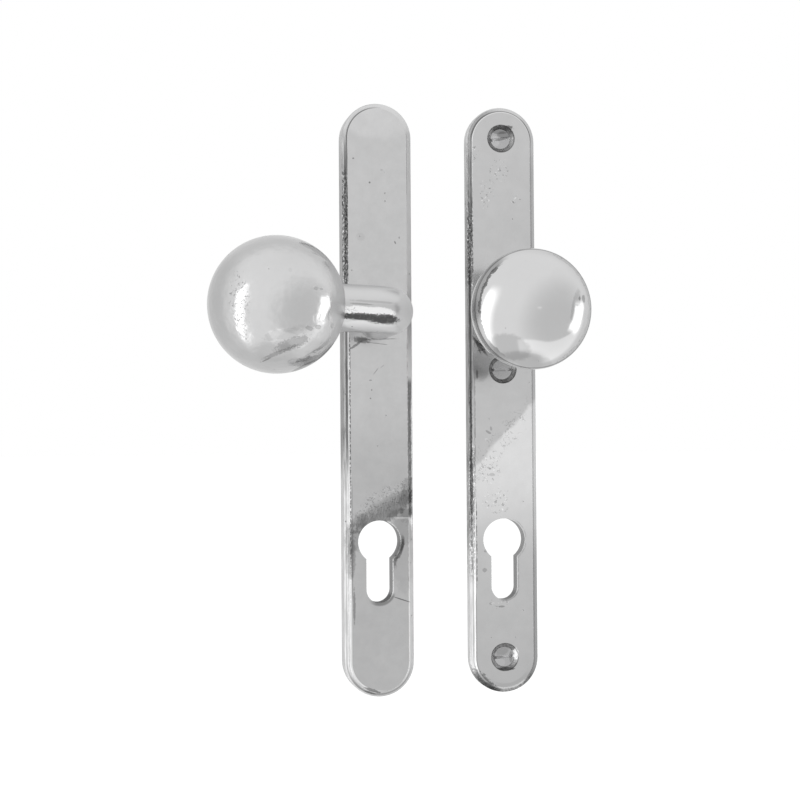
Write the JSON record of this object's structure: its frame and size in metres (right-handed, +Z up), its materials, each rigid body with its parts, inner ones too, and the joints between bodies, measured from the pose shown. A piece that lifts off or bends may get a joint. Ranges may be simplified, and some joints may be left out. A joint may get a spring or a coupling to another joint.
{
  "type": "door handle set",
  "caption": "Long round-ended door plates with lock cylinder cut-outs: the outer carries a fixed ball knob on a cranked neck, the inner a turning mushroom knob on a square spindle.",
  "frame": {"origin": "on the outer plate's back face, on the axis of the neck's foot, 92 mm above the lock cylinder's axis", "axes": "+Z up along the plates, -Y out of the door towards the hand, +X from the outer plate to the inner plate"},
  "size_m": [0.1488, 0.116, 0.2427],
  "materials": {
    "outer_plate_metal": "worn polish, fine pits",
    "inner_plate_metal": "worn polish, fine pits",
    "knob_neck_metal": "worn polish, fine pits",
    "ball_knob_metal": "worn polish, fine pits",
    "inner_knob_metal": "worn polish, fine pits",
    "screw_steel": "dulled nickel",
    "plain_steel": "zinc-plated",
    "hardened_steel": "blackened, ground",
    "bearing_brass": "turned",
    "nylon": "natural white"
  },
  "bodies": {
    "plates": {"outer_plate": "outer_plate_metal", "anti_drill_plate": "hardened_steel", "anti_drill_screw_upper": "plain_steel", "anti_drill_screw_lower": "plain_steel", "threaded_bush_top": "plain_steel", "threaded_bush_middle": "plain_steel", "threaded_bush_bottom": "plain_steel", "knob_neck": "knob_neck_metal", "neck_screw_upper": "plain_steel", "neck_screw_lower": "plain_steel", "ball_knob": "ball_knob_metal", "ball_stud": "plain_steel", "inner_plate": "inner_plate_metal", "plate_screw_top": "screw_steel", "plate_screw_middle": "screw_steel", "plate_screw_bottom": "screw_steel", "knob_bearing": "bearing_brass", "thrust_washer": "nylon", "retaining_washer": "plain_steel"},
    "turning_knob": {"inner_knob": "inner_knob_metal", "retaining_ring": "plain_steel", "spindle": "plain_steel", "knob_grub_screw": "plain_steel"}
  },
  "joints": [
    {"name": "inner_knob_turn", "type": "hinge", "parent": "plates", "child": "turning_knob", "pos_m": [0.0528, 0, 0], "axis": [0, -1, 0], "continuous": true}
  ]
}
